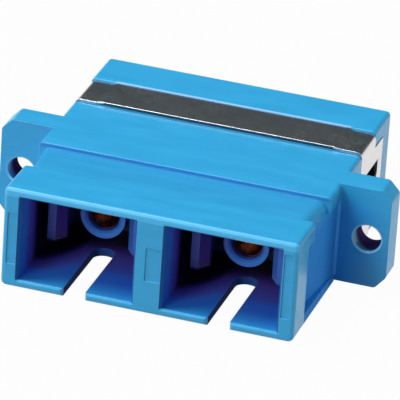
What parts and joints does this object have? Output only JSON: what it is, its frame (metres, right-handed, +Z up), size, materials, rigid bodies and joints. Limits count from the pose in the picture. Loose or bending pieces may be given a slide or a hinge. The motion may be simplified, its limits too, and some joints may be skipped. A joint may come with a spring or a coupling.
{
  "type": "sc fibre adapter",
  "caption": "Flanged duplex adapter that joins SC fibre plugs end to end, with a spring clip for panel mounting.",
  "frame": {"origin": "midway between the two flange holes, on the face of the flange that meets the panel", "axes": "+X from ear to ear, +Y from the panel face towards the rear ports, +Z up, away from the keyways"},
  "size_m": [0.0346, 0.0269, 0.0099],
  "materials": {
    "housing": "satin moulded blue plastic",
    "insert": "moulded blue plastic",
    "sleeve": "smooth phosphor bronze",
    "clip": "bright rolled spring steel"
  },
  "bodies": {
    "root": {"front_housing": "housing", "rear_housing": "housing", "left_front_latch_insert": "insert", "left_rear_latch_insert": "insert", "right_front_latch_insert": "insert", "right_rear_latch_insert": "insert", "left_split_sleeve": "sleeve", "right_split_sleeve": "sleeve", "panel_clip": "clip"}
  },
  "joints": []
}
